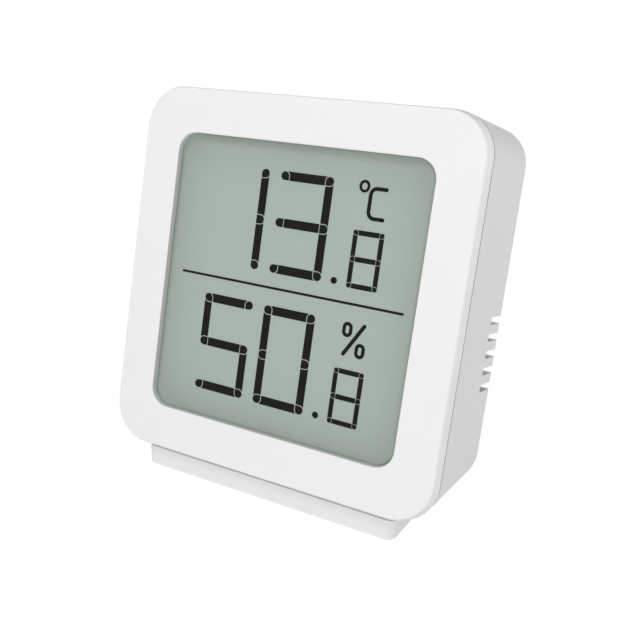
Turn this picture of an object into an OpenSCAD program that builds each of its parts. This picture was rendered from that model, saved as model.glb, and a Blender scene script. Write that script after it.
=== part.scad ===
// Temperature and humidity sensor: segment display behind a bezel, two AAA cells, wedge foot.
// Millimetres. Inside the body x runs to the viewer's right, y up and z from the front face to the back.
// The finished part stands on its foot, leaning back, with +Z up and the display towards -Y.

/* [Body] */
// Width of the body across the front
body_w = 60; // [59:0.5:70]
// Height of the body along the front
body_h = 62.5; // [62:0.5:72]
// Depth of the body from the front face to the back face
body_d = 25; // [24.5:0.5:32]
// Corner radius seen from the front
corner_r = 6.8; // [5.5:0.1:8]
// Rounding of the front edge of the bezel
front_r = 0.7; // [0.5:0.1:1.3]
// Rounding of the back edge of the rear housing
back_r = 0.6; // [0.3:0.1:0.8]
// Draft of the rear housing from its front to its back, on each side
draft = 0.5; // [0.2:0.1:0.7]
// Wall of the rear housing
wall = 1.3; // [1.2:0.1:2]
// Lean of the body when it stands on its foot, in degrees
lean = 13.5; // [12.5:0.1:14.5]

/* [Bezel and display] */
// Thickness of the bezel plate
bezel_t = 1.4; // [1.3:0.1:1.8]
// Open groove between the bezel and the rear housing
seam = 0.3; // [0.2:0.05:0.5]
// Width of the bezel beside the display opening
border_w = 7.5; // [7:0.25:10]
// Width of the bezel above and below the display opening
border_h = 7.5; // [7:0.25:10]
// Corner radius of the display opening
win_r = 3.2; // [2:0.1:4]
// Rounding of the opening's front edge
win_edge = 0.2; // [0.1:0.05:0.5]
// Thickness of the foam gasket
gasket_t = 0.2; // [0.1:0.05:0.4]
// Thickness of each display glass
glass_t = 0.7; // [0.5:0.1:1]
// Height of the bare contact ledge on the front glass
ledge = 1.8; // [1.4:0.1:2.2]
// Free depth between the circuit board and the battery bay
board_room = 2; // [1.9:0.1:3]

/* [Battery bay] */
// Diameter of a cell
cell_d = 10.3; // [9.5:0.1:10.5]
// Length of a cell with its nub
cell_l = 44.5; // [43:0.1:44.8]
// Gap between the two cells
cell_gap = 0.7; // [0.4:0.1:1.3]
// Length of the battery bay beyond a cell, for a spring and two plates
spring_room = 5.5; // [4.5:0.1:6.5]
// Wall of the battery bay
bay_wall = 1.2; // [0.8:0.1:1.4]
// Thickness of the battery door
door_t = 1.5; // [1.2:0.1:1.8]
// Free play of the battery door in its channel
door_play = 0.1; // [0.05:0.05:0.2]

/* [Vents and button] */
// Number of vent slots on each side
vent_n = 5; // [3:1:6]
// Distance between vent slots
vent_pitch = 2.85; // [2.5:0.05:3]
// Height of a vent slot
vent_h = 1.25; // [0.8:0.05:1.5]
// Height of the top vent slot's middle, from the middle of the body
vent_top = -0.45; // [-2:0.05:2]
// Length of a vent slot along the side wall
vent_side = 7.25; // [5:0.25:8]
// Length of a vent slot along the back wall
vent_back = 8; // [5:0.5:8]
// Slope of the vent slots down towards the back, in degrees
vent_tilt = 4; // [0:0.5:6]
// Radius of the pairing button
button_r = 3; // [2.5:0.1:3.3]
// Radial running clearance of the button and of the switch plunger
button_play = 0.08; // [0.05:0.01:0.1]
// Travel of the pairing button
button_travel = 0.3; // [0.2:0.05:0.4]

/* [Foot] */
// Width of the foot along its front edge
foot_w = 46.9; // [40:0.1:48]
// Depth of the foot
foot_l = 17.2; // [15:0.2:17.6]
// Widening of the foot towards the back on each side, in degrees
foot_flare = 4; // [0:0.5:6]
// Distance of the foot's lower front edge behind the front face
foot_in = 3.2; // [3:0.1:4]
// Depth of the anti-slip pad along the foot
pad_l = 12.5; // [8:0.5:13]
// Width of the anti-slip pad
pad_w = 38; // [30:0.5:39]
// Height of the anti-slip pad below the foot
pad_proud = 0.15; // [0.1:0.05:0.3]

/* [Hidden] */
$fn = 64;
hw = body_w / 2;
hh = body_h / 2;
house_z = bezel_t + seam;
inner_z = body_d - wall;
merge = 0.4;
fit = 0.15;

// Display stack, from the bezel to the back
win_w = body_w - 2 * border_w;
win_h = body_h - 2 * border_h;
film_t = 0.2;
film_r = 0.5;
film_over = 0.9;
glass_over = 1.1;
lcd_z = bezel_t + gasket_t;
glass_z = lcd_z + film_t;
rear_z = glass_z + glass_t;
refl_z = rear_z + glass_t;
stack_z = refl_z + film_t;
glass_w = win_w + 2 * glass_over;
glass_low = -win_h / 2 - glass_over;
glass_top = win_h / 2 + glass_over + ledge;
carrier_t = 1.2;
carrier_rim = 1;
carrier_r = 1.5;
carrier_top = 0.6;
zebra_gap = 0.2;
zebra_w = ledge - 2 * zebra_gap;
zebra_in = 0.5;

// Bezel skirt, and the bosses and screws that hold the housing
skirt_t = 1.2;
skirt_in = wall + fit + skirt_t;
skirt_l = 3.2;
skirt_end = bezel_t + skirt_l;
screw_in = 3.5;
screw_down = 9.75;
screw_x = hw - screw_in;
screw_y = hh - screw_down;
screw_r = 0.85;
pilot_r = 0.9;
bore_r = 1.1;
boss_r = 1.5;
boss_base = 0.8;
boss_floor = bezel_t + boss_base;
head_r = 1.6;
head_t = 1.3;
head_gap = 0.3;
column_r = 2.6;
column_l = 2.8;
slot_w = 0.5;
slot_l = 2.2;
slot_d = 0.7;

// Battery bay and door
door_drop = 0.1;
door_z = body_d - door_drop - door_t;
door_over = 1.8;
tongue = 0.9;
tongue_t = 0.7;
cell_pitch = cell_d + cell_gap;
cell_x = cell_pitch / 2;
cell_play = 0.25;
bay_side = 0.55;
cell_z = door_z - cell_play - cell_d / 2;
bay_w = cell_pitch + cell_d + 2 * bay_side;
bay_l = cell_l + spring_room;
bay_floor = cell_z - cell_d / 2 - cell_play;
door_w = bay_w + 2 * door_over;
door_lap = 1.3;
door_low = -bay_l / 2 - door_lap;
door_inset = 0.35;
door_top = hh - draft - door_inset;
channel_wall = 1.5;
channel_back = 1.5;
grip_n = 6;
grip_pitch = 1.8;
grip_h = 0.9;
grip_w = 12;
grip_d = 0.4;
grip_top = 6.1;
plate_t = 0.4;
plate_w = 8.4;
tail_w = 2.4;
nub_l = 1.1;
nub_r = 1.8;
spring_l = spring_room - 2 * plate_t;
spring_r = 3.3;
spring_taper = 1;
turns = 6;
wire_r = 0.42;
sink = 0.1;

// Circuit board and what is on it
board_t = 1.2;
board_edge = 2.5;
board_r = 3;
board_z = bay_floor - bay_wall - board_room - board_t;
back_z = board_z + board_t;
board_lap = 0.3;
board_low = -bay_l / 2 - board_lap;
board_top = glass_top + board_lap;
board_w = body_w - 2 * (wall + board_edge);
board_hw = board_w / 2;
seat_z = back_z + column_l;
post_x = 8;
post_down = 12.25;
post_y = hh - post_down;
post_r = 2;
post_base = 0.6;
post_floor = stack_z + post_base;
small_screw_r = 0.75;
small_pilot_r = 0.8;
small_bore_r = 1;
small_head_r = 1.5;
small_head_t = 1;
radio_w = 12.2;
radio_l = 18;
radio_y = -14;
radio_t = 0.6;
radio_in = 0.4;
shield_rim = 0.5;
shield_l = 12;
shield_t = 1.2;
chip_w = 7;
chip_in = 11.7;
chip_x = board_hw - chip_in;
chip_y = 8;
chip_t = 1;
chip_dot_r = 0.4;
chip_dot_in = 1.2;
chip_dot_d = 0.2;
cap_n = 4;
cap_in = 12.7;
cap_x = board_hw - cap_in;
cap_y = -20;
cap_pitch = 2.2;
cap_w = 1.3;
cap_l = 2.2;
cap_t = 0.9;

// Sensor behind the vents
vent_mid = vent_top - (vent_n - 1) * vent_pitch / 2;
sensor_t = 0.8;
sensor_l = 12;
sensor_in = 1.5;
sensor_x = hw - vent_back - sensor_in;
sensor_drop = 3;
sensor_chip_w = 2.5;
sensor_chip_t = 0.9;
sensor_chip_in = 0.5;
sensor_port_r = 0.5;
sensor_port_d = 0.4;

// Pairing button and its switch
switch_w = 6;
switch_h = 3.5;
switch_floor = 1.2;
plunger_r = 1.7;
plunger_gap = 0.4;
plunger_out = 1.3;
plunger_top = back_z + switch_h + plunger_out;
stem_r = 1.4;
stem_l = 4;
flange = 0.8;
flange_t = 1;
flange_gap = 0.05;
guide_wall = 1.4;
guide_z = plunger_top + stem_l;
button_gap = 2.6;
button_down = 17.25;
button_x = -(door_w / 2 + tongue + button_gap + button_r);
button_y = hh - button_down;
button_low = 0.3;
dish = 0.3;
dish_r = 9.9;

// Foot, its screws and its pad
slope = draft / (body_d - house_z);
table = -(body_d - back_r) * sin(lean) - (hh - draft - back_r) * cos(lean) - back_r;
sole = table + pad_proud;
foot_y0 = foot_in * cos(lean) + (sole + foot_in * sin(lean)) / cos(lean) * sin(lean);
foot_y1 = foot_y0 + foot_l;
foot_r0 = 1.5;
foot_r1 = 2;
pad_in = 2.2;
pad_r = 2;
pad_deep = 0.5;
pad_y = foot_y0 + pad_in + pad_l / 2;
pad_top = sole + pad_deep;
foot_boss_r = 2.1;
foot_boss_l = 3.4;
foot_head_t = 1;
foot_x = 15;
foot_z = back_z + fit + foot_boss_r;
foot_head_y = (pad_top + fit + (foot_z + head_r) * sin(lean)) / cos(lean);
foot_seat_y = foot_head_y + foot_head_t;
foot_screw_top = -hh + wall + foot_boss_l - merge;

// Places what stands on the table: the middle of the pad's lower face is the origin.
module on_table() {
  translate([0, -pad_y, -table]) children();
}

// Places what is drawn in the body's own axes.
module in_body() {
  on_table() rotate([-lean, 0, 0]) rotate([90, 0, 0]) mirror([0, 0, 1]) children();
}

module rounded(w, h, r) {
  square([w - 2 * r, h], center = true);
  square([w, h - 2 * r], center = true);
  for (sx = [-1, 1]) {
    for (sy = [-1, 1]) {
      translate([sx * (w / 2 - r), sy * (h / 2 - r)]) circle(r);
    }
  }
}

module plate(w, h, r, z0, z1) {
  translate([0, 0, z0]) linear_extrude(z1 - z0) rounded(w, h, r);
}

module block(x0, x1, y0, y1, z0, z1) {
  translate([x0, y0, z0]) cube([x1 - x0, y1 - y0, z1 - z0]);
}

module rod(x, y, r, z0, z1) {
  translate([x, y, z0]) cylinder(r = r, h = z1 - z0);
}

// Carries a profile around a rounded outline: its x is the distance from a corner's axis, its y the depth.
module around(w, h, r) {
  for (a = [0, 90, 180, 270]) {
    ew = a % 180 == 0 ? w : h;
    eh = a % 180 == 0 ? h : w;
    rotate([0, 0, a]) translate([ew / 2 - r, eh / 2 - r, 0]) {
      rotate_extrude(angle = 90) children();
      rotate([90, 0, 0]) linear_extrude(eh - 2 * r) children();
    }
  }
}

module at_posts() {
  for (sx = [-1, 1]) {
    for (sy = [-1, 1]) {
      translate([sx * post_x, sy * post_y, 0]) children();
    }
  }
}

module at_foot_screws() {
  for (sx = [-1, 1]) {
    translate([sx * foot_x, 0, foot_z]) rotate([-90, 0, 0]) children();
  }
}

module at_screws() {
  for (sx = [-1, 1]) {
    for (sy = [-1, 1]) {
      translate([sx * screw_x, sy * screw_y, 0]) children();
    }
  }
}

module bezel_profile() {
  polygon([[0, 0], [corner_r - front_r, 0], [corner_r - front_r, front_r], [corner_r, front_r],
    [corner_r, bezel_t], [0, bezel_t]]);
  intersection() {
    translate([corner_r - front_r, front_r]) circle(front_r);
    translate([corner_r - front_r, 0]) square(front_r);
  }
}

module front_bezel() {
  color("white") in_body() difference() {
    union() {
      around(body_w, body_h, corner_r) bezel_profile();
      block(-hw + corner_r, hw - corner_r, -hh + corner_r, hh - corner_r, 0, bezel_t);
      difference() {
        plate(body_w - 2 * (wall + fit), body_h - 2 * (wall + fit), corner_r - wall - fit,
          bezel_t - merge, skirt_end);
        plate(body_w - 2 * skirt_in, body_h - 2 * skirt_in, corner_r - skirt_in,
          bezel_t - 2 * merge, skirt_end + 1);
      }
      at_screws() rod(0, 0, boss_r, bezel_t - merge, board_z);
    }
    plate(win_w, win_h, win_r, -1, bezel_t + 1);
    around(win_w + 2 * win_edge, win_h + 2 * win_edge, win_r + win_edge) difference() {
      translate([win_r - 0.1, -0.1]) square([win_edge + 0.1, win_edge + 0.1]);
      translate([win_r + win_edge, win_edge]) circle(win_edge);
    }
    at_screws() rod(0, 0, pilot_r, boss_floor, board_z + 1);
  }
}

module display_gasket() {
  color("dimgray") in_body() difference() {
    plate(win_w + 2 * film_over, win_h + 2 * film_over, win_r + film_over, bezel_t, lcd_z);
    plate(win_w + 2 * win_edge, win_h + 2 * win_edge, win_r + win_edge, bezel_t - 1, lcd_z + 1);
  }
}

module lcd_front_polarizer() {
  color("darkseagreen") in_body()
    plate(win_w + 2 * film_over, win_h + 2 * film_over, film_r, lcd_z, glass_z);
}

module lcd_front_glass() {
  color("lightcyan") in_body()
    block(-glass_w / 2, glass_w / 2, glass_low, glass_top, glass_z, rear_z);
}

module lcd_rear_glass() {
  color("lightcyan") in_body()
    block(-glass_w / 2, glass_w / 2, glass_low, glass_top - ledge, rear_z, refl_z);
}

module lcd_reflector() {
  color("silver") in_body()
    plate(win_w + 2 * film_over, win_h + 2 * film_over, film_r, refl_z, stack_z);
}

module lcd_carrier() {
  low = glass_low - carrier_rim;
  high = glass_top + carrier_top;
  slot_x = win_w / 2 - zebra_in + zebra_gap;
  slot_y = zebra_w / 2 + zebra_gap;
  color("whitesmoke") in_body() difference() {
    union() {
      translate([0, (low + high) / 2, 0])
        plate(glass_w + 2 * carrier_rim, high - low, carrier_r, glass_z, stack_z + carrier_t);
      at_posts() rod(0, 0, post_r, stack_z, board_z);
    }
    block(-glass_w / 2 - fit, glass_w / 2 + fit, glass_low - fit, glass_top + fit, glass_z - 1, stack_z);
    translate([0, glass_top - ledge / 2, 0]) block(-slot_x, slot_x, -slot_y, slot_y, glass_z, board_z);
    at_screws() rod(0, 0, boss_r + fit, 0, board_z);
    at_posts() rod(0, 0, small_pilot_r, post_floor, board_z + 1);
  }
}

module zebra_strip() {
  x = win_w / 2 - zebra_in;
  color("hotpink") in_body() translate([0, glass_top - ledge / 2, 0])
    block(-x, x, -zebra_w / 2, zebra_w / 2, rear_z, board_z);
}

module main_board() {
  y = (board_low + board_top) / 2;
  color("green") in_body() difference() {
    translate([0, y, 0]) plate(board_w, board_top - board_low, board_r, board_z, back_z);
    at_screws() rod(0, 0, bore_r, board_z - 1, back_z + 1);
    at_posts() rod(0, 0, small_bore_r, board_z - 1, back_z + 1);
  }
}

module board_screws() {
  color("silver") in_body() at_posts() {
    rod(0, 0, small_screw_r, post_floor + merge, back_z);
    difference() {
      rod(0, 0, small_head_r, back_z, back_z + small_head_t);
      block(-slot_l / 2, slot_l / 2, -slot_w / 2, slot_w / 2, back_z + small_head_t / 2, seat_z);
    }
  }
}

module radio_module() {
  x0 = -board_hw + radio_in;
  z0 = back_z + radio_t;
  color("silver") in_body() translate([x0, radio_y, 0]) {
    block(0, radio_w, 0, radio_l, back_z, z0);
    block(shield_rim, radio_w - shield_rim, shield_rim, shield_rim + shield_l, z0, z0 + shield_t);
  }
}

module driver_chip() {
  dot = chip_w - chip_dot_in;
  color("black") in_body() translate([chip_x, chip_y, back_z]) difference() {
    block(0, chip_w, 0, chip_w, 0, chip_t);
    rod(chip_dot_in, dot, chip_dot_r, chip_t - chip_dot_d, 2 * chip_t);
  }
}

module board_capacitors() {
  color("tan") in_body() for (i = [0:cap_n - 1]) {
    translate([cap_x + cap_pitch * i, cap_y, back_z]) block(0, cap_w, 0, cap_l, 0, cap_t);
  }
}

module sensor_board() {
  color("green") in_body() translate([sensor_x, vent_mid, 0])
    block(0, sensor_t, -sensor_l / 2, sensor_l / 2, back_z, inner_z - sensor_drop);
}

module sensor_chip() {
  half = sensor_chip_w / 2;
  color("black") in_body()
    translate([sensor_x + sensor_t, vent_mid, inner_z - sensor_drop - sensor_chip_in - half]) difference() {
      block(0, sensor_chip_t, -half, half, -half, half);
      translate([sensor_chip_t - sensor_port_d, 0, 0]) rotate([0, 90, 0])
        cylinder(r = sensor_port_r, h = sensor_chip_t);
    }
}

module switch_base() {
  half = switch_w / 2;
  color("dimgray") in_body() translate([button_x, button_y, back_z]) difference() {
    block(-half, half, -half, half, 0, switch_h);
    rod(0, 0, plunger_r + button_play, switch_floor, 2 * switch_h);
  }
}

module switch_plunger() {
  color("black") in_body()
    rod(button_x, button_y, plunger_r, back_z + switch_floor + plunger_gap + button_travel, plunger_top);
}

module pair_button() {
  top = body_d - button_low;
  flange_z = guide_z - flange_gap;
  color("whitesmoke") in_body() translate([button_x, button_y, 0]) difference() {
    union() {
      rod(0, 0, stem_r, plunger_top, flange_z);
      rod(0, 0, button_r + flange, flange_z - flange_t, flange_z);
      rod(0, 0, button_r, flange_z - merge, top);
    }
    translate([0, 0, top - dish + dish_r]) sphere(r = dish_r);
  }
}

module housing_profile() {
  edge = corner_r - draft;
  polygon([[0, house_z], [corner_r, house_z], [edge, body_d - back_r], [edge - back_r, body_d - back_r],
    [edge - back_r, body_d], [0, body_d]]);
  intersection() {
    translate([edge - back_r, body_d - back_r]) circle(back_r);
    translate([edge - back_r, body_d - back_r]) square(back_r);
  }
}

module housing_shell() {
  difference() {
    union() {
      around(body_w, body_h, corner_r) housing_profile();
      block(-hw + corner_r, hw - corner_r, -hh + corner_r, hh - corner_r, house_z, body_d);
    }
    plate(body_w - 2 * wall, body_h - 2 * wall, corner_r - wall, house_z - 1, inner_z);
  }
}

module housing_insides() {
  channel = door_w / 2 + door_play + tongue + channel_wall;
  top = inner_z + merge;
  at_screws() rod(0, 0, column_r, back_z, top);
  rod(button_x, button_y, button_r + guide_wall, guide_z, top);
  block(-bay_w / 2 - bay_wall, bay_w / 2 + bay_wall, -bay_l / 2 - bay_wall, bay_l / 2 + bay_wall,
    bay_floor - bay_wall, top);
  block(-channel, channel, door_low - channel_wall, hh - wall + merge, door_z - channel_back, top);
  at_foot_screws() translate([0, 0, -hh + wall - merge]) cylinder(r = foot_boss_r, h = foot_boss_l + merge);
}

module vent_cuts() {
  for (sx = [-1, 1]) {
    for (i = [0:vent_n - 1]) {
      translate([sx * (hw - vent_back / 2 + 1), vent_top - i * vent_pitch, body_d - vent_side])
        rotate([vent_tilt, 0, 0]) translate([0, 0, vent_side / 2 + 1])
          cube([vent_back + 2, vent_h, vent_side + 2], center = true);
    }
  }
}

module rear_housing() {
  half = door_w / 2 + door_play;
  color("white") in_body() difference() {
    union() {
      housing_shell();
      housing_insides();
    }
    vent_cuts();
    at_screws() rod(0, 0, bore_r, 0, body_d);
    at_screws() rod(0, 0, head_r + head_gap, seat_z, body_d + 1);
    rod(button_x, button_y, button_r + button_play, guide_z - 1, body_d + 1);
    block(-bay_w / 2, bay_w / 2, -bay_l / 2, bay_l / 2, bay_floor, body_d);
    block(-half, half, door_low - door_play, hh + 1, door_z - door_play, body_d + 1);
    block(-half - tongue, half + tongue, door_low - door_play, hh + 1, door_z - door_play,
      door_z + tongue_t + door_play);
    for (sx = [-1, 1]) {
      translate([sx * cell_x, -bay_l / 2, bay_floor])
        block(-tail_w / 2 - fit, tail_w / 2 + fit, 0, plate_t + fit, -2 * bay_wall, bay_wall);
    }
    at_foot_screws() translate([0, 0, -hh - wall]) cylinder(r = pilot_r, h = 2 * wall + foot_boss_l + 1);
  }
}

module housing_screws() {
  color("silver") in_body() at_screws() {
    rod(0, 0, screw_r, boss_floor + merge, seat_z);
    translate([0, 0, seat_z + head_t]) difference() {
      rod(0, 0, head_r, -head_t, 0);
      block(-slot_l / 2, slot_l / 2, -slot_w / 2, slot_w / 2, -slot_d, 1);
      block(-slot_w / 2, slot_w / 2, -slot_l / 2, slot_l / 2, -slot_d, 1);
    }
  }
}

module cell() {
  rotate([-90, 0, 0]) {
    cylinder(r = cell_d / 2, h = cell_l - nub_l);
    cylinder(r = nub_r, h = cell_l);
  }
}

module battery_a() {
  color("steelblue") in_body() translate([-cell_x, bay_l / 2 - plate_t - cell_l, cell_z]) cell();
}

module battery_b() {
  color("steelblue") in_body() mirror([0, 1, 0])
    translate([cell_x, bay_l / 2 - plate_t - cell_l, cell_z]) cell();
}

// A coil spring drawn as a stack of turns, from its plate to the cell.
module spring() {
  step = (spring_l + sink - 2 * wire_r) / (turns - 1);
  web = sink;
  end_r = spring_r - spring_taper;
  end_y = spring_l - wire_r;
  rotate([-90, 0, 0]) rotate_extrude() {
    for (i = [0:turns - 1]) {
      translate([spring_r - spring_taper * i / (turns - 1), wire_r - sink + step * i]) circle(wire_r);
    }
    polygon([[spring_r - web, wire_r], [spring_r + web, wire_r], [end_r + web, end_y], [end_r - web, end_y]]);
  }
}

module contact_plate(x0, x1) {
  z0 = cell_z - plate_w / 2;
  block(x0, x1, -bay_l / 2, -bay_l / 2 + plate_t, z0, z0 + plate_w);
}

module contact_tail(x) {
  block(x - tail_w / 2, x + tail_w / 2, -bay_l / 2, -bay_l / 2 + plate_t, back_z, cell_z);
}

module contact_bridge() {
  color("silver") in_body() mirror([0, 1, 0]) {
    contact_plate(-cell_x - plate_w / 2, cell_x + plate_w / 2);
    translate([cell_x, -bay_l / 2 + plate_t, cell_z]) spring();
  }
}

module contact_plus() {
  color("silver") in_body() {
    contact_plate(cell_x - plate_w / 2, cell_x + plate_w / 2);
    contact_tail(cell_x);
  }
}

module contact_minus() {
  color("silver") in_body() {
    contact_plate(-cell_x - plate_w / 2, -cell_x + plate_w / 2);
    contact_tail(-cell_x);
    translate([-cell_x, -bay_l / 2 + plate_t, cell_z]) spring();
  }
}

module battery_door() {
  color("white") in_body() difference() {
    union() {
      block(-door_w / 2, door_w / 2, door_low, door_top, door_z, door_z + door_t);
      block(-door_w / 2 - tongue, door_w / 2 + tongue, door_low, door_top, door_z, door_z + tongue_t);
    }
    for (i = [0:grip_n - 1]) {
      translate([0, door_top - grip_top - grip_pitch * i, door_z + door_t])
        block(-grip_w / 2, grip_w / 2, -grip_h, 0, -grip_d, door_t);
    }
  }
}

module foot_plan() {
  r0 = foot_r0;
  r1 = foot_r1;
  t = tan(foot_flare);
  c = cos(foot_flare);
  s = sin(foot_flare);
  x0 = foot_w / 2 + r0 * t - r0 / c;
  x1 = foot_w / 2 + (foot_l - r1) * t - r1 / c;
  polygon([[-x0, foot_y0], [x0, foot_y0], [x0, foot_y0 + r0], [x0 + r0 * c, foot_y0 + r0 - r0 * s],
    [x1 + r1 * c, foot_y1 - r1 - r1 * s], [x1, foot_y1 - r1], [x1, foot_y1], [-x1, foot_y1],
    [-x1, foot_y1 - r1], [-x1 - r1 * c, foot_y1 - r1 - r1 * s], [-x0 - r0 * c, foot_y0 + r0 - r0 * s],
    [-x0, foot_y0 + r0]]);
  for (sx = [-1, 1]) {
    translate([sx * x0, foot_y0 + r0]) circle(r0);
    translate([sx * x1, foot_y1 - r1]) circle(r1);
  }
}

module stand_foot() {
  color("white") difference() {
    on_table() translate([0, 0, sole]) linear_extrude(body_d / 2) foot_plan();
    in_body() translate([0, -hh, house_z]) rotate([atan(slope), 0, 0])
      translate([-body_w, 0, -body_d]) cube([2 * body_w, body_h, 3 * body_d]);
    on_table() translate([0, pad_y, sole - 1]) linear_extrude(1 + pad_deep)
      rounded(pad_w + 2 * fit, pad_l + 2 * fit, pad_r + fit);
    in_body() at_foot_screws() {
      translate([0, 0, foot_seat_y - 1]) cylinder(r = bore_r, h = wall - hh - foot_seat_y + 1);
      translate([0, 0, foot_head_y - body_d]) cylinder(r = head_r + head_gap, h = body_d + foot_head_t);
    }
  }
}

module foot_screws() {
  color("silver") in_body() at_foot_screws() {
    translate([0, 0, foot_seat_y - merge]) cylinder(r = screw_r, h = foot_screw_top - foot_seat_y + merge);
    translate([0, 0, foot_head_y]) cylinder(r = head_r, h = foot_head_t);
  }
}

module anti_slip_pad() {
  color("dimgray") on_table() translate([0, pad_y, table]) linear_extrude(pad_proud + pad_deep)
    rounded(pad_w, pad_l, pad_r);
}

front_bezel();
display_gasket();
lcd_front_polarizer();
lcd_front_glass();
lcd_rear_glass();
lcd_reflector();
lcd_carrier();
zebra_strip();
main_board();
board_screws();
radio_module();
driver_chip();
board_capacitors();
sensor_board();
sensor_chip();
switch_base();
switch_plunger();
pair_button();
rear_housing();
housing_screws();
battery_a();
battery_b();
contact_bridge();
contact_plus();
contact_minus();
battery_door();
stand_foot();
foot_screws();
anti_slip_pad();
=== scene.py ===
import math

import bpy
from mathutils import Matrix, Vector


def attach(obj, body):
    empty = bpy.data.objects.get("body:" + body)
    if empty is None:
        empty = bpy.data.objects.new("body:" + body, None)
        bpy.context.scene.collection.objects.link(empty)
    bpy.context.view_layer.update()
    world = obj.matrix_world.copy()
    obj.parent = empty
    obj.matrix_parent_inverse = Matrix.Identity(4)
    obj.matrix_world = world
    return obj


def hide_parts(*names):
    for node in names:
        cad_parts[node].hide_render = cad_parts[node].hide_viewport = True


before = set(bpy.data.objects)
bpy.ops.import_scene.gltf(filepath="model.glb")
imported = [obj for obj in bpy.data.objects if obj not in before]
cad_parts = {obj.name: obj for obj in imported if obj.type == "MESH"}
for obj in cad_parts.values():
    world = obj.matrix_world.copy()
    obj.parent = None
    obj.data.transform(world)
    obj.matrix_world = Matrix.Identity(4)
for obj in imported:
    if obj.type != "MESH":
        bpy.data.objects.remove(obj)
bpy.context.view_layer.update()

MM = 0.001
LEAN = math.radians(13.5)

# Middle of the display film's front face in the shared frame, in metres, and the turn that brings a flat
# drawing up to the leaning film.
DISPLAY_CENTRE = Vector((0.0, -1.6712, 35.2395)) * MM
DISPLAY_TURN = (math.pi / 2 - LEAN, 0.0, 0.0)

# The reading on the display, in millimetres from the middle of the film.
INK_T = 0.03
UPRIGHT_W = 1.38
ACROSS_W = 1.46
BAR_EDGE_R = 0.02
JOINT_R = 0.7
GAP_R = 0.84
BIG_TENS = (-14.03, -6.13)
BIG_UNITS = (-2.58, 5.3)
SMALL_COLUMNS = (10.77, 15.1)
SMALL_SIZE = 0.55
TEMPERATURE_ROWS = (18.57, 11.03, 3.47)
HUMIDITY_ROWS = (-3.37, -10.93, -18.53)
TEMPERATURE_TENTHS_ROWS = (11.4, 7.27, 3.1)
HUMIDITY_TENTHS_ROWS = (-10.5, -14.7, -18.8)
LIT_BARS = {
    "0": "abcdef",
    "1": "bc",
    "3": "abcdg",
    "5": "acdfg",
    "8": "abcdefg",
}
POINT_R = 0.54
TEMPERATURE_POINT = (8.23, 3.4)
HUMIDITY_POINT = (8.27, -18.57)
DIVIDER_AT = (0.21, 0.27)
DIVIDER_W, DIVIDER_H, DIVIDER_R = 40.23, 0.4, 0.15

# The signs beside the reading.
DEGREE_AT = (11.17, 18.57)
DEGREE_W, DEGREE_H, DEGREE_STROKE = 1.76, 1.95, 0.45
LETTER_LEFT, LETTER_END = 12.33, 15.07
LETTER_HIGH, LETTER_LOW = 18.4, 13.8
LETTER_STROKE, LETTER_BEND = 0.6, 1.0
LETTER_UNCUT = 5.4
SLASH_LOW, SLASH_HIGH = Vector((11.5, -7.73)), Vector((14.4, -2.8))
SLASH_STROKE = 0.62
PERCENT_RINGS = ((11.67, -3.8), (14.18, -6.82))
PERCENT_W, PERCENT_H, PERCENT_STROKE = 1.7, 2.42, 0.57

# The bezel, in millimetres from the middle of the film. Its sides slope outwards from the face to the seam.
BEZEL_FRONT = 1.51
BEZEL_BACK = 0.2
BEZEL_W, BEZEL_H, BEZEL_R = 60.0, 62.5, 6.8
RIM_SLOPE_W, RIM_SLOPE_H = 0.72, 0.12
RIM_ROUND = 0.3
WINDOW_W, WINDOW_H, WINDOW_R = 45.0, 47.5, 3.2
WINDOW_ROUND = 0.2
SKIRT_IN, SKIRT_T = 1.45, 1.2
SKIRT_END = -3.0
SUNK = 0.4
BOSS_X, BOSS_Y = 26.5, 21.5
BOSS_R, PILOT_R = 1.5, 0.9
PILOT_TOP = -0.6
BOSS_END = -6.6

# How finely edges are rounded, how far a cutter goes past what it cuts, and how close counts as equal.
CORNER_STEPS = 10
BEZEL_STEPS = 16
RIM_STEPS = 6
WINDOW_STEPS = 3
FULL_CORNER = 0.999
CUTTER_T = 1.0
CUTTER_PAST = 1.0
SAME_PLACE = 1e-6
SAME_LEVEL = 1e-4
NEAR_WINDOW = 0.1
FACING_FRONT = 0.99
SMOOTH_ANGLE = math.radians(35)


# Hand tools for flat pieces, drawn in millimetres around the origin.
def pick(piece):
    bpy.ops.object.select_all(action="DESELECT")
    piece.select_set(True)
    bpy.context.view_layer.objects.active = piece


def edit(piece):
    pick(piece)
    bpy.ops.object.mode_set(mode="EDIT")
    bpy.ops.mesh.select_all(action="SELECT")


def leave_edit():
    bpy.ops.object.mode_set(mode="OBJECT")


def deselect_all(piece, kind):
    """Leaves a piece with nothing selected, ready to select edges or faces."""
    edit(piece)
    bpy.ops.mesh.select_mode(type=kind)
    bpy.ops.mesh.select_all(action="DESELECT")
    leave_edit()


def select_edges(piece, wanted):
    """Selects the edges whose two ends pass the test, and nothing else."""
    deselect_all(piece, "EDGE")
    points = [v.co.copy() for v in piece.data.vertices]
    for edge in piece.data.edges:
        edge.select = wanted(points[edge.vertices[0]], points[edge.vertices[1]])
    bpy.ops.object.mode_set(mode="EDIT")


def upright_edge(a, b):
    return abs(a.x - b.x) < SAME_PLACE and abs(a.y - b.y) < SAME_PLACE


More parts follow.
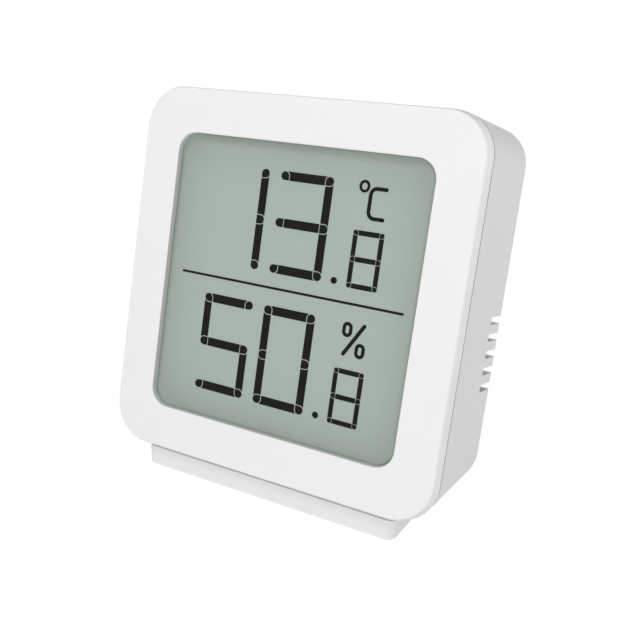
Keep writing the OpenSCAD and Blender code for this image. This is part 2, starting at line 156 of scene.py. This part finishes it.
def rounded_plate(
    x, y, width, height, radius,
    depth=INK_T, turn=0.0, sharp=(), middle=INK_T / 2, steps=CORNER_STEPS,
):
    """A flat plate with rounded corners, apart from the sharp ones. As a rule its back is on the film."""

    def rounded_edge(a, b):
        corner = (math.copysign(1, a.x), math.copysign(1, a.y))
        return upright_edge(a, b) and corner not in sharp

    bpy.ops.object.select_all(action="DESELECT")
    bpy.ops.mesh.primitive_cube_add(size=1)
    plate = bpy.context.object
    plate.scale = (width, height, depth)
    bpy.ops.object.transform_apply(location=False, rotation=False, scale=True)
    select_edges(plate, rounded_edge)
    bpy.ops.mesh.bevel(offset=radius * FULL_CORNER, segments=steps, affect="EDGES")
    leave_edit()
    plate.rotation_euler = (0.0, 0.0, turn)
    plate.location = (x, y, middle)
    bpy.ops.object.transform_apply(location=True, rotation=True, scale=False)
    return plate


def round_dot(x, y, radius):
    return rounded_plate(x, y, 2 * radius, 2 * radius, radius)


def combine(piece, other, operation):
    pick(piece)
    step = piece.modifiers.new("step", "BOOLEAN")
    step.operation = operation
    step.solver = "MANIFOLD"
    step.object = other
    bpy.ops.object.modifier_apply(modifier=step.name)
    bpy.data.objects.remove(other)
    return piece


def cut_away(piece, cutter):
    return combine(piece, cutter, "DIFFERENCE")


def build_on(piece, addition):
    return combine(piece, addition, "UNION")


def copy_to(piece, x, y):
    """A copy of a piece, moved from the origin to a place."""
    pick(piece)
    bpy.ops.object.duplicate()
    twin = bpy.context.object
    twin.location = (x, y, 0.0)
    bpy.ops.object.transform_apply(location=True, rotation=False, scale=False)
    return twin


def slice_off(piece, x, side):
    """Cuts a flat plate straight at x and drops what lies beyond it."""
    edit(piece)
    bpy.ops.mesh.bisect(plane_co=(x, 0, 0), plane_no=(side, 0, 0), use_fill=True, clear_outer=True)
    leave_edit()


def weld(pieces):
    bpy.ops.object.select_all(action="DESELECT")
    for piece in pieces:
        piece.select_set(True)
    bpy.context.view_layer.objects.active = pieces[0]
    bpy.ops.object.join()
    return bpy.context.view_layer.objects.active


def ring(x, y, width, height, stroke):
    outer = rounded_plate(x, y, width, height, width / 2)
    hole_w, hole_h = width - 2 * stroke, height - 2 * stroke
    return cut_away(outer, rounded_plate(x, y, hole_w, hole_h, hole_w / 2, CUTTER_T))


def lay_on_display(piece, name, material):
    """Turns a piece up to the leaning film, in metres, and hands it to the case."""
    piece.name = name
    pick(piece)
    piece.scale = (MM, MM, MM)
    piece.rotation_euler = DISPLAY_TURN
    piece.location = DISPLAY_CENTRE
    bpy.ops.object.transform_apply(location=True, rotation=True, scale=True)
    edit(piece)
    bpy.ops.mesh.normals_make_consistent(inside=False)
    leave_edit()
    piece.data.materials.clear()
    piece.data.materials.append(material)
    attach(piece, "case")


def print_on_film(piece, name):
    lay_on_display(piece, name, segment_ink)


# The bezel, which stands for the plainer solid.
def layer(width, height, radius, low, high):
    return rounded_plate(
        0, 0, width, height, radius, high - low, middle=(low + high) / 2, steps=BEZEL_STEPS
    )


def sloped_plate():
    """A plate whose front is narrower than its back, with a rounded edge all round the front."""
    plate = layer(BEZEL_W, BEZEL_H, BEZEL_R, BEZEL_BACK, BEZEL_FRONT)
    deselect_all(plate, "FACE")
    for face in plate.data.polygons:
        face.select = face.normal.z > FACING_FRONT
    bpy.ops.object.mode_set(mode="EDIT")
    bpy.ops.transform.resize(value=(1 - 2 * RIM_SLOPE_W / BEZEL_W, 1 - 2 * RIM_SLOPE_H / BEZEL_H, 1.0))
    bpy.ops.mesh.region_to_loop()
    bpy.ops.mesh.bevel(offset=RIM_ROUND, segments=RIM_STEPS, affect="EDGES")
    leave_edit()
    return plate


def open_window(plate):
    def at_window(point):
        in_front = abs(point.z - BEZEL_FRONT) < SAME_LEVEL
        inside_w = abs(point.x) < WINDOW_W / 2 + NEAR_WINDOW
        inside_h = abs(point.y) < WINDOW_H / 2 + NEAR_WINDOW
        return in_front and inside_w and inside_h

    def window_edge(a, b):
        return at_window(a) and at_window(b)

    low, high = BEZEL_BACK - CUTTER_PAST, BEZEL_FRONT + CUTTER_PAST
    cut_away(plate, layer(WINDOW_W, WINDOW_H, WINDOW_R, low, high))
    select_edges(plate, window_edge)
    bpy.ops.mesh.bevel(offset=WINDOW_ROUND, segments=WINDOW_STEPS, affect="EDGES")
    leave_edit()


def skirt():
    def outline(inset):
        return BEZEL_W - 2 * inset, BEZEL_H - 2 * inset, BEZEL_R - inset

    outer = layer(*outline(SKIRT_IN), SKIRT_END, BEZEL_BACK + SUNK)
    inner = layer(*outline(SKIRT_IN + SKIRT_T), SKIRT_END - CUTTER_PAST, BEZEL_BACK + 2 * SUNK)
    return cut_away(outer, inner)


def screw_boss():
    high, low = BEZEL_BACK + SUNK, BOSS_END
    boss = rounded_plate(0, 0, 2 * BOSS_R, 2 * BOSS_R, BOSS_R, high - low, middle=(high + low) / 2)
    deep = PILOT_TOP - low + CUTTER_PAST
    pilot = rounded_plate(0, 0, 2 * PILOT_R, 2 * PILOT_R, PILOT_R, deep, middle=PILOT_TOP - deep / 2)
    return cut_away(boss, pilot)


def sloped_bezel():
    bezel = sloped_plate()
    open_window(bezel)
    build_on(bezel, skirt())
    boss = screw_boss()
    for x in (-BOSS_X, BOSS_X):
        for y in (-BOSS_Y, BOSS_Y):
            build_on(bezel, copy_to(boss, x, y))
    bpy.data.objects.remove(boss)
    lay_on_display(bezel, "bezel_frame", bezel_white_painted_shade)
    bpy.ops.object.shade_smooth_by_angle(angle=SMOOTH_ANGLE)
    flat = bezel.modifiers.new("flat", "WEIGHTED_NORMAL")
    flat.keep_sharp = True
    bpy.ops.object.modifier_apply(modifier=flat.name)
    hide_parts("front_bezel")


# The reading: seven bars a digit, with a joint between every two of them.
def corner_joint(x, y, inward, towards, radius, depth=INK_T):
    """Round outside, with a sharp corner towards the inside of the digit."""
    return rounded_plate(x, y, 2 * radius, 2 * radius, radius, depth, sharp=((inward, towards),))


def middle_joint(x, y, inward, radius, depth=INK_T):
    """Round outside and flat on the side of the middle bar."""
    return rounded_plate(x, y, 2 * radius, 2 * radius, radius, depth, sharp=((inward, 1), (inward, -1)))


def bar_across(left, right, y, towards, size):
    bar = rounded_plate((left + right) / 2, y, right - left, ACROSS_W * size, BAR_EDGE_R)
    for x, inward in ((left, 1), (right, -1)):
        cut_away(bar, corner_joint(x, y, inward, towards, GAP_R * size, CUTTER_T))
    return bar


def bar_middle(left, right, y, size):
    inset = UPRIGHT_W / 2 + GAP_R - JOINT_R
    long = right - left - 2 * inset * size
    return rounded_plate((left + right) / 2, y, long, ACROSS_W * size, BAR_EDGE_R)


def bar_upright(x, corner_y, middle_y, inward, towards, size):
    long = abs(corner_y - middle_y)
    bar = rounded_plate(x, (corner_y + middle_y) / 2, UPRIGHT_W * size, long, BAR_EDGE_R)
    cut_away(bar, corner_joint(x, corner_y, inward, towards, GAP_R * size, CUTTER_T))
    return cut_away(bar, middle_joint(x, middle_y, inward, GAP_R * size, CUTTER_T))


def digit(name, figure, columns, rows, size=1.0):
    left, right = columns
    top, middle, low = rows
    makers = {
        "a": lambda: bar_across(left, right, top, -1, size),
        "b": lambda: bar_upright(right, top, middle, -1, -1, size),
        "c": lambda: bar_upright(right, low, middle, -1, 1, size),
        "d": lambda: bar_across(left, right, low, 1, size),
        "e": lambda: bar_upright(left, low, middle, 1, 1, size),
        "f": lambda: bar_upright(left, top, middle, 1, -1, size),
        "g": lambda: bar_middle(left, right, middle, size),
    }
    parts = [makers[bar]() for bar in LIT_BARS[figure]]
    sides = ((right, -1),) if figure == "1" else ((left, 1), (right, -1))
    for x, inward in sides:
        parts.append(corner_joint(x, top, inward, -1, JOINT_R * size))
        parts.append(middle_joint(x, middle, inward, JOINT_R * size))
        parts.append(corner_joint(x, low, inward, 1, JOINT_R * size))
    print_on_film(weld(parts), name)


def degree_celsius_sign():
    """The letter is a long rounded loop that is cut off at its open end, with a round tip on each arm."""
    half = LETTER_STROKE / 2
    x = LETTER_LEFT - half + LETTER_UNCUT / 2
    y = (LETTER_HIGH + LETTER_LOW) / 2
    tall = LETTER_HIGH - LETTER_LOW
    letter = rounded_plate(x, y, LETTER_UNCUT, tall + LETTER_STROKE, LETTER_BEND + half)
    hole_w, hole_h = LETTER_UNCUT - 2 * LETTER_STROKE, tall - LETTER_STROKE
    cut_away(letter, rounded_plate(x, y, hole_w, hole_h, LETTER_BEND - half, CUTTER_T))
    slice_off(letter, LETTER_END - half, 1)
    tips = [round_dot(LETTER_END - half, arm, half) for arm in (LETTER_HIGH, LETTER_LOW)]
    degree = ring(*DEGREE_AT, DEGREE_W, DEGREE_H, DEGREE_STROKE)
    print_on_film(weld([letter, degree] + tips), "degree_celsius_sign")


def percent_sign():
    run = SLASH_HIGH - SLASH_LOW
    middle = (SLASH_LOW + SLASH_HIGH) / 2
    slant = math.atan2(run.y, run.x)
    long = run.length + SLASH_STROKE
    slash = rounded_plate(*middle, long, SLASH_STROKE, SLASH_STROKE / 2, turn=slant)
    rings = [ring(*place, PERCENT_W, PERCENT_H, PERCENT_STROKE) for place in PERCENT_RINGS]
    print_on_film(weld([slash] + rings), "percent_sign")


def display_reading():
    digit("temperature_tens", "1", BIG_TENS, TEMPERATURE_ROWS)
    digit("temperature_units", "3", BIG_UNITS, TEMPERATURE_ROWS)
    digit("temperature_tenths", "8", SMALL_COLUMNS, TEMPERATURE_TENTHS_ROWS, SMALL_SIZE)
    digit("humidity_tens", "5", BIG_TENS, HUMIDITY_ROWS)
    digit("humidity_units", "0", BIG_UNITS, HUMIDITY_ROWS)
    digit("humidity_tenths", "8", SMALL_COLUMNS, HUMIDITY_TENTHS_ROWS, SMALL_SIZE)
    print_on_film(round_dot(*TEMPERATURE_POINT, POINT_R), "temperature_point")
    print_on_film(round_dot(*HUMIDITY_POINT, POINT_R), "humidity_point")
    print_on_film(rounded_plate(*DIVIDER_AT, DIVIDER_W, DIVIDER_H, DIVIDER_R), "divider_line")
    degree_celsius_sign()
    percent_sign()


# Steps that the node trees share.
def maths(nodes, links, operation, *given, clamp=False):
    """One step of arithmetic on numbers and sockets, in the order of the node's inputs."""
    step = nodes.new("ShaderNodeMath")
    step.operation = operation
    step.use_clamp = clamp
    for value, socket in zip(given, step.inputs):
        if isinstance(value, (int, float)):
            socket.default_value = value
        else:
            links.new(value, socket)
    return step.outputs[0]


def blend(nodes, links, factor, first, second):
    """A colour between two, each given as a colour or as the socket that it comes from."""
    mix = nodes.new("ShaderNodeMix")
    mix.data_type = "RGBA"
    links.new(factor, mix.inputs["Factor"])
    for label, colour in (("A", first), ("B", second)):
        if isinstance(colour, tuple):
            mix.inputs[label].default_value = (*colour, 1.0)
        else:
            links.new(colour, mix.inputs[label])
    return mix.outputs["Result"]


def tinted(nodes, links, colour, shade):
    tint = nodes.new("ShaderNodeVectorMath")
    tint.operation = "SCALE"
    links.new(colour, tint.inputs[0])
    links.new(shade, tint.inputs["Scale"])
    return tint.outputs[0]


def noise(nodes, links, place, detail):
    field = nodes.new("ShaderNodeTexNoise")
    field.inputs["Detail"].default_value = detail
    links.new(place, field.inputs["Vector"])
    return field


def stretched(nodes, links, scale):
    """Places on the object, stretched by a scale along each axis."""
    place = nodes.new("ShaderNodeTexCoord")
    stretch = nodes.new("ShaderNodeMapping")
    stretch.inputs["Scale"].default_value = scale
    links.new(place.outputs["Object"], stretch.inputs["Vector"])
    return stretch.outputs["Vector"]


# Shared effects.
GRAIN_SHARE = 0.35
GRAIN_DETAIL, GRAIN_ROUGHNESS = 3.0, 0.6
DRIFT_SIZE, DRIFT_DETAIL = 45.0, 2.0
SCRATCH_STRETCH = (1.0, 12.0, 12.0)
SCRATCH_DETAIL = 4.0
SCRATCH_TONE, SCRATCH_DARKEST = 0.24, 0.88
SCRATCH_ROUGHNESS = 0.2


def new_group(name, inputs):
    """A group that turns the given values into a colour, a roughness and a height."""
    group = bpy.data.node_groups.new(name, "ShaderNodeTree")
    for way, labels in (("INPUT", inputs), ("OUTPUT", ("Colour", "Roughness", "Height"))):
        for label in labels:
            kind = "NodeSocketColor" if label == "Colour" else "NodeSocketFloat"
            group.interface.new_socket(label, in_out=way, socket_type=kind)
    return group, group.nodes.new("NodeGroupInput").outputs, group.nodes.new("NodeGroupOutput").inputs


def moulded_grain_group():
    """Fine spark-eroded grain with a slow drift of tone, as on moulded plastic."""
    group, given, made = new_group(
        "moulded_grain", ("Colour", "Grain Size", "Tone Spread", "Roughness", "Roughness Spread")
    )
    nodes, links = group.nodes, group.links
    place = nodes.new("ShaderNodeTexCoord").outputs["Object"]
    grain = noise(nodes, links, place, GRAIN_DETAIL)
    grain.inputs["Roughness"].default_value = GRAIN_ROUGHNESS
    links.new(given["Grain Size"], grain.inputs["Scale"])
    drift = noise(nodes, links, place, DRIFT_DETAIL)
    drift.inputs["Scale"].default_value = DRIFT_SIZE
    height = grain.outputs["Fac"]
    both = maths(nodes, links, "MULTIPLY_ADD", height, GRAIN_SHARE, drift.outputs["Fac"])
    centred = maths(nodes, links, "SUBTRACT", both, (1 + GRAIN_SHARE) / 2)
    shade = maths(nodes, links, "MULTIPLY_ADD", centred, given["Tone Spread"], 1.0)
    rough = maths(
        nodes, links, "MULTIPLY_ADD", centred, given["Roughness Spread"], given["Roughness"], clamp=True
    )
    links.new(tinted(nodes, links, given["Colour"], shade), made["Colour"])
    links.new(rough, made["Roughness"])
    links.new(height, made["Height"])
    return group


def drawn_metal_group():
    """Long fine scratches and a drift of tone, as on rolled or drawn metal."""
    group, given, made = new_group("drawn_metal", ("Colour", "Roughness", "Scratch Size"))
    nodes, links = group.nodes, group.links
    scratch = noise(nodes, links, stretched(nodes, links, SCRATCH_STRETCH), SCRATCH_DETAIL)
    links.new(given["Scratch Size"], scratch.inputs["Scale"])
    height = scratch.outputs["Fac"]
    shade = maths(nodes, links, "MULTIPLY_ADD", height, SCRATCH_TONE, SCRATCH_DARKEST)
    rough = maths(
        nodes, links, "MULTIPLY_ADD", height, SCRATCH_ROUGHNESS, given["Roughness"], clamp=True
    )
    links.new(tinted(nodes, links, given["Colour"], shade), made["Colour"])
    links.new(rough, made["Roughness"])
    links.new(height, made["Height"])
    return group


moulded_grain = moulded_grain_group()
drawn_metal = drawn_metal_group()


# Colours, and the grey shade painted into gaps and recesses.
SHELL_WHITE = (0.838, 0.838, 0.838)
# A darker copy of the shell's white, as painted shade for the foot under the bezel.
FOOT_WHITE_PAINTED_SHADE = (0.79, 0.79, 0.79)
OPENING_SHADE = (0.64, 0.65, 0.645)
SEAM_SHADE = (0.2, 0.2, 0.205)
FOOT_SHADE = (0.4, 0.4, 0.405)
FILM_MIDDLE = (0.383, 0.448, 0.404)
# Painted shade: the film's colour at its edges, for the case's shadow on it.
FILM_EDGE_PAINTED_SHADE = (0.312, 0.360, 0.325)
FILM_EDGE_POWER = 6.0
CELL_METAL = (0.68, 0.68, 0.66)
SLEEVE_SLATE = (0.035, 0.06, 0.1)
BAND_PALE = (0.6, 0.62, 0.64)
ZEBRA_DARK = (0.03, 0.03, 0.03)
ZEBRA_PALE = (0.5, 0.42, 0.4)
ZEBRA_BANDS = (600.0, 0.0, 0.0)

# Where grey shade is painted, in millimetres from the middle of the film, as middle and reach: the wall of
# the opening, the housing's rim inside the seam, and the top of the foot in the gap under the bezel.
OPENING_WALL = {"X": (0.0, 22.56), "Y": (0.0, 23.81), "Z": (0.5, 0.8)}
SEAM_RIM = {"Z": (-0.06, 0.05)}
FOOT_GAP = {"Y": (-31.7, 0.55)}

# Along a cell, in millimetres from the middle of the film towards its plus end, as middle and reach.
CELL_SLEEVE = (1.7, 21.3)
CELL_BAND = (17.0, 4.2)
CELL_LINE = (11.3, 0.4)
CELL_PAINT = ((CELL_SLEEVE, SLEEVE_SLATE), (CELL_BAND, BAND_PALE), (CELL_LINE, BAND_PALE))


# Finishes.
def finish(name):
    material = bpy.data.materials.new(name)
    material.use_nodes = True
    nodes = material.node_tree.nodes
    return material, nodes, material.node_tree.links, nodes["Principled BSDF"]


def raise_height(nodes, links, height, shader, distance, strength):
    bump = nodes.new("ShaderNodeBump")
    bump.inputs["Distance"].default_value = distance * MM
    bump.inputs["Strength"].default_value = strength
    links.new(height, bump.inputs["Height"])
    links.new(bump.outputs["Normal"], shader.inputs["Normal"])


def lay_grain(nodes, links, shader, size, spread, roughness, depth, strength, uneven=0.15):
    """Puts the moulded grain on a shader, and gives back the socket for its colour."""
    grain = nodes.new("ShaderNodeGroup")
    grain.node_tree = moulded_grain
    grain.inputs["Grain Size"].default_value = size
    grain.inputs["Tone Spread"].default_value = spread
    grain.inputs["Roughness"].default_value = roughness
    grain.inputs["Roughness Spread"].default_value = uneven
    links.new(grain.outputs["Colour"], shader.inputs["Base Color"])
    links.new(grain.outputs["Roughness"], shader.inputs["Roughness"])
    raise_height(nodes, links, grain.outputs["Height"], shader, depth, strength)
    return grain.inputs["Colour"]


def grained(name, colour, roughness, grain=2600.0, spread=0.05, depth=0.02, strength=0.25, specular=0.5):
    material, nodes, links, shader = finish(name)
    tone = lay_grain(nodes, links, shader, grain, spread, roughness, depth, strength)
    tone.default_value = (*colour, 1.0)
    shader.inputs["Specular IOR Level"].default_value = specular
    return material


def metal(name, colour, roughness, scratch=900.0):
    material, nodes, links, shader = finish(name)
    marks = nodes.new("ShaderNodeGroup")
    marks.node_tree = drawn_metal
    marks.inputs["Colour"].default_value = (*colour, 1.0)
    marks.inputs["Roughness"].default_value = roughness
    marks.inputs["Scratch Size"].default_value = scratch
    links.new(marks.outputs["Colour"], shader.inputs["Base Color"])
    links.new(marks.outputs["Roughness"], shader.inputs["Roughness"])
    shader.inputs["Metallic"].default_value = 1.0
    raise_height(nodes, links, marks.outputs["Height"], shader, distance=0.01, strength=0.2)
    return material


def display_axes(nodes, links, unit=(1.0, 1.0, 1.0)):
    """Places right, up and out of the display film, counted from its middle in units of millimetres."""
    place = nodes.new("ShaderNodeTexCoord")
    upright = nodes.new("ShaderNodeMapping")
    upright.vector_type = "TEXTURE"
    upright.inputs["Location"].default_value = DISPLAY_CENTRE
    upright.inputs["Rotation"].default_value = DISPLAY_TURN
    upright.inputs["Scale"].default_value = [side * MM for side in unit]
    links.new(place.outputs["Object"], upright.inputs["Vector"])
    split = nodes.new("ShaderNodeSeparateXYZ")
    links.new(upright.outputs["Vector"], split.inputs[0])
    return split.outputs


def within(nodes, links, value, middle, reach):
    """1 where a value is no further than its reach from the middle, and 0 elsewhere."""
    return maths(nodes, links, "COMPARE", value, middle, reach)


def shell_finish(name, pale=SHELL_WHITE):
    return grained(name, pale, 0.55, grain=3200.0, spread=0.02, depth=0.012, strength=0.3)


def shell_with_painted_shade(name, zone, shade, pale=SHELL_WHITE):
    """The shell's white, with grey painted shade where all places of the zone hold."""
    material = shell_finish(name, pale)
    nodes, links = material.node_tree.nodes, material.node_tree.links
    base = nodes["Principled BSDF"].inputs["Base Color"]
    white = base.links[0].from_socket
    axes = display_axes(nodes, links)
    mask = None
    for axis, (middle, reach) in zone.items():
        held = within(nodes, links, axes[axis], middle, reach)
        mask = held if mask is None else maths(nodes, links, "MULTIPLY", mask, held)
    links.new(blend(nodes, links, mask, white, shade), base)
    return material


def display_film_finish():
    """Grey-green film with painted shade towards its edges, for the shadow of the case around it, and the
    faint sparkle of an anti-glare coat.
    """
    material, nodes, links, shader = finish("display_film")
    axes = display_axes(nodes, links, (WINDOW_W / 2, WINDOW_H / 2, 1.0))
    # Painted shade rising towards the film's edges.
    rise = []
    for axis in ("X", "Y"):
        away = maths(nodes, links, "ABSOLUTE", axes[axis])
        rise.append(maths(nodes, links, "POWER", away, FILM_EDGE_POWER))
    edge = maths(nodes, links, "ADD", *rise, clamp=True)
    tone = lay_grain(
        nodes, links, shader, size=9000.0, spread=0.03, roughness=0.5, depth=0.004, strength=0.15, uneven=0.1
    )
    links.new(blend(nodes, links, edge, FILM_MIDDLE, FILM_EDGE_PAINTED_SHADE), tone)
    shader.inputs["Specular IOR Level"].default_value = 0.15
    return material


def zebra_finish():
    """Dark and pale bands along the strip, as in a layered rubber connector."""
    material, nodes, links, shader = finish("zebra_rubber")
    bands = nodes.new("ShaderNodeTexWave")
    bands.inputs["Scale"].default_value = 1.0
    bands.inputs["Distortion"].default_value = 0.0
    links.new(stretched(nodes, links, ZEBRA_BANDS), bands.inputs["Vector"])
    tone = lay_grain(
        nodes, links, shader, size=1500.0, spread=0.06, roughness=0.7, depth=0.01, strength=0.2
    )
    links.new(blend(nodes, links, bands.outputs["Fac"], ZEBRA_DARK, ZEBRA_PALE), tone)
    return material


def cell_finish(name, plus):
    """A wrapped cell: dark sleeve, pale band and line near its plus end, and bare metal at both ends."""
    material, nodes, links, shader = finish(name)
    along = display_axes(nodes, links)["Y"]

    def painted(zone):
        middle, reach = zone
        return within(nodes, links, along, plus * middle, reach)

    colour = CELL_METAL
    for zone, paint in CELL_PAINT:
        colour = blend(nodes, links, painted(zone), colour, paint)
    tone = lay_grain(
        nodes, links, shader, size=900.0, spread=0.12, roughness=0.3, depth=0.006, strength=0.15, uneven=0.2
    )
    links.new(colour, tone)
    bare = maths(nodes, links, "SUBTRACT", 1.0, painted(CELL_SLEEVE))
    links.new(bare, shader.inputs["Metallic"])
    return material


shell_white = shell_finish("shell_white")
# Painted shade on the wall of the display opening.
bezel_white_painted_shade = shell_with_painted_shade("bezel_white_painted_shade", OPENING_WALL, OPENING_SHADE)
# Painted shade: a dark line on the housing's rim inside the seam.
housing_white_painted_shade = shell_with_painted_shade("housing_white_painted_shade", SEAM_RIM, SEAM_SHADE)
# Painted shade: a dark line on the top of the foot under the bezel, on a darker copy of the shell's white.
foot_white_painted_shade = shell_with_painted_shade("foot_white_painted_shade", FOOT_GAP, FOOT_SHADE, FOOT_WHITE_PAINTED_SHADE)
display_film = display_film_finish()
segment_ink = grained("segment_ink", (0.006, 0.006, 0.005), 0.5, grain=5000.0, depth=0.002, specular=0.1)
foam_grey = grained(
    "foam_grey", (0.12, 0.12, 0.12), 0.9, grain=1800.0, spread=0.3, depth=0.05, strength=0.6
)
pad_rubber = grained(
    "pad_rubber", (0.16, 0.16, 0.165), 0.85, grain=1400.0, spread=0.2, depth=0.05, strength=0.5
)
board_green = grained(
    "board_green", (0.02, 0.16, 0.06), 0.35, grain=500.0, spread=0.6, depth=0.03, strength=0.3
)
display_glass = grained(
    "display_glass", (0.5, 0.56, 0.53), 0.08, grain=200.0, depth=0.001, strength=0.05
)
inner_white = grained("inner_white", (0.7, 0.71, 0.71), 0.5)
chip_black = grained("chip_black", (0.02, 0.02, 0.022), 0.45, grain=1800.0, spread=0.2)
switch_grey = grained("switch_grey", (0.08, 0.08, 0.085), 0.4)
plunger_black = grained("plunger_black", (0.03, 0.03, 0.03), 0.4)
button_grey = grained("button_grey", (0.66, 0.67, 0.68), 0.5, depth=0.012)
ceramic_tan = grained("ceramic_tan", (0.45, 0.32, 0.2), 0.5, grain=3000.0, spread=0.2)
screw_steel = metal("screw_steel", (0.62, 0.62, 0.63), 0.22)
shield_steel = metal("shield_steel", (0.68, 0.68, 0.67), 0.26, scratch=500.0)
reflector_foil = metal("reflector_foil", (0.78, 0.78, 0.76), 0.3, scratch=300.0)
contact_nickel = metal("contact_nickel", (0.72, 0.7, 0.66), 0.2)
zebra_rubber = zebra_finish()
cell_plus_up = cell_finish("cell_plus_up", 1)
cell_plus_down = cell_finish("cell_plus_down", -1)

NODE_FINISH = {
    "front_bezel": bezel_white_painted_shade,
    "rear_housing": housing_white_painted_shade,
    "battery_door": shell_white,
    "stand_foot": foot_white_painted_shade,
    "display_gasket": foam_grey,
    "lcd_front_polarizer": display_film,
    "lcd_front_glass": display_glass,
    "lcd_rear_glass": display_glass,
    "lcd_reflector": reflector_foil,
    "lcd_carrier": inner_white,
    "zebra_strip": zebra_rubber,
    "main_board": board_green,
    "sensor_board": board_green,
    "board_screws": screw_steel,
    "housing_screws": screw_steel,
    "foot_screws": screw_steel,
    "radio_module": shield_steel,
    "driver_chip": chip_black,
    "sensor_chip": chip_black,
    "board_capacitors": ceramic_tan,
    "switch_base": switch_grey,
    "switch_plunger": plunger_black,
    "pair_button": button_grey,
    "battery_a": cell_plus_up,
    "battery_b": cell_plus_down,
    "contact_bridge": contact_nickel,
    "contact_plus": contact_nickel,
    "contact_minus": contact_nickel,
    "anti_slip_pad": pad_rubber,
}


def dress_nodes():
    for name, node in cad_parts.items():
        node.data.materials.clear()
        node.data.materials.append(NODE_FINISH[name])


# Studio: lengths in metres, and each soft box as degrees to the right, degrees up and watts.
FLOOR_SIDE = 4.0
FLOOR_PALE = (0.77, 0.77, 0.77)
FLOOR_GLOW = 0.92
GLOW_LEVEL = 1.05
SHADOW_NEAR = 0.05
SHADOW_FAR = 0.2
TENT_LEVEL = 0.02
LIGHT_TARGET = Vector((0.0, 0.0, 0.035))
BOX_DISTANCE = 0.9
BOX_SIDE = 0.4
SOFT_BOXES = {
    "left_high_box": (-26.0, 52.0, 2.85),
    "right_front_box": (21.0, 14.0, 4.62),
    "right_high_box": (45.0, 28.0, 0.4),
    "right_back_box": (127.0, 3.0, 3.6),
    "left_top_box": (-90.0, 62.0, 0.3),
    "left_back_box": (-105.0, 12.0, 1.7),
    "back_box": (-126.0, 4.0, 3.6),
}
CAMERA_AT = Vector((62.65, -121.924, 85.17)) * MM
CAMERA_TURN = (69.8564, -0.1583, 30.8312)
CAMERA_SENSOR, CAMERA_LENS = 36.0, 50.109
CAMERA_SHIFT = (0.12962, -0.04607)
CAMERA_NEAR = 0.001


def seen_as_background(nodes, links):
    """A value of 1 for the rays in which the background shows: straight, mirrored or through glass."""
    path = nodes.new("ShaderNodeLightPath")
    total = path.outputs["Is Camera Ray"]
    for ray in ("Is Glossy Ray", "Is Transmission Ray"):
        total = maths(nodes, links, "MAXIMUM", total, path.outputs[ray])
    return total


def studio_floor():
    """White paper that takes the shadow near the object and fades into the bright background."""
    bpy.ops.object.select_all(action="DESELECT")
    bpy.ops.mesh.primitive_plane_add(size=FLOOR_SIDE)
    floor = bpy.context.object
    floor.name = "studio_floor"
    material, nodes, links, shader = finish("studio_floor")
    nodes.remove(shader)
    paper = nodes.new("ShaderNodeBsdfDiffuse")
    paper.inputs["Color"].default_value = (*FLOOR_PALE, 1.0)
    glow = nodes.new("ShaderNodeEmission")
    glow.inputs["Strength"].default_value = GLOW_LEVEL
    place = nodes.new("ShaderNodeTexCoord")
    away = nodes.new("ShaderNodeVectorMath")
    away.operation = "LENGTH"
    links.new(place.outputs["Object"], away.inputs[0])
    fade = nodes.new("ShaderNodeMapRange")
    fade.inputs["From Min"].default_value = SHADOW_NEAR
    fade.inputs["From Max"].default_value = SHADOW_FAR
    fade.inputs["To Min"].default_value = FLOOR_GLOW
    fade.inputs["To Max"].default_value = 1.0
    links.new(away.outputs["Value"], fade.inputs["Value"])
    share = maths(nodes, links, "MULTIPLY", seen_as_background(nodes, links), fade.outputs["Result"])
    mixed = nodes.new("ShaderNodeMixShader")
    links.new(share, mixed.inputs[0])
    links.new(paper.outputs[0], mixed.inputs[1])
    links.new(glow.outputs[0], mixed.inputs[2])
    links.new(mixed.outputs[0], nodes["Material Output"].inputs["Surface"])
    floor.data.materials.append(material)


def studio_world():
    world = bpy.data.worlds.new("studio_tent")
    bpy.context.scene.world = world
    world.use_nodes = True
    nodes, links = world.node_tree.nodes, world.node_tree.links
    tent = nodes["Background"]
    level = nodes.new("ShaderNodeMix")
    level.data_type = "FLOAT"
    level.inputs["A"].default_value = TENT_LEVEL
    level.inputs["B"].default_value = 1.0
    links.new(seen_as_background(nodes, links), level.inputs["Factor"])
    links.new(level.outputs["Result"], tent.inputs["Strength"])
    tent.inputs["Color"].default_value = (1.0, 1.0, 1.0, 1.0)


def soft_box(name, around, above, watts):
    """A square soft box that looks at the object, so many degrees to its right and above it."""
    side, up = math.radians(around), math.radians(above)
    out = Vector((math.sin(side) * math.cos(up), -math.cos(side) * math.cos(up), math.sin(up)))
    bpy.ops.object.select_all(action="DESELECT")
    bpy.ops.object.light_add(type="AREA", location=LIGHT_TARGET + BOX_DISTANCE * out)
    lamp = bpy.context.object
    lamp.name = name
    lamp.data.shape = "SQUARE"
    lamp.data.size = BOX_SIDE
    lamp.data.energy = watts
    lamp.rotation_euler = out.to_track_quat("Z", "Y").to_euler()


def studio_light():
    for name, (around, above, watts) in SOFT_BOXES.items():
        soft_box(name, around, above, watts)


def studio_camera():
    bpy.ops.object.select_all(action="DESELECT")
    bpy.ops.object.camera_add(location=CAMERA_AT)
    camera = bpy.context.object
    camera.name = "studio_camera"
    camera.rotation_euler = [math.radians(angle) for angle in CAMERA_TURN]
    camera.data.sensor_width = CAMERA_SENSOR
    camera.data.lens = CAMERA_LENS
    camera.data.shift_x, camera.data.shift_y = CAMERA_SHIFT
    camera.data.clip_start = CAMERA_NEAR
    bpy.context.scene.camera = camera


dress_nodes()
sloped_bezel()
display_reading()
studio_floor()
studio_world()
studio_light()
studio_camera()
bpy.context.scene.view_settings.view_transform = "Standard"
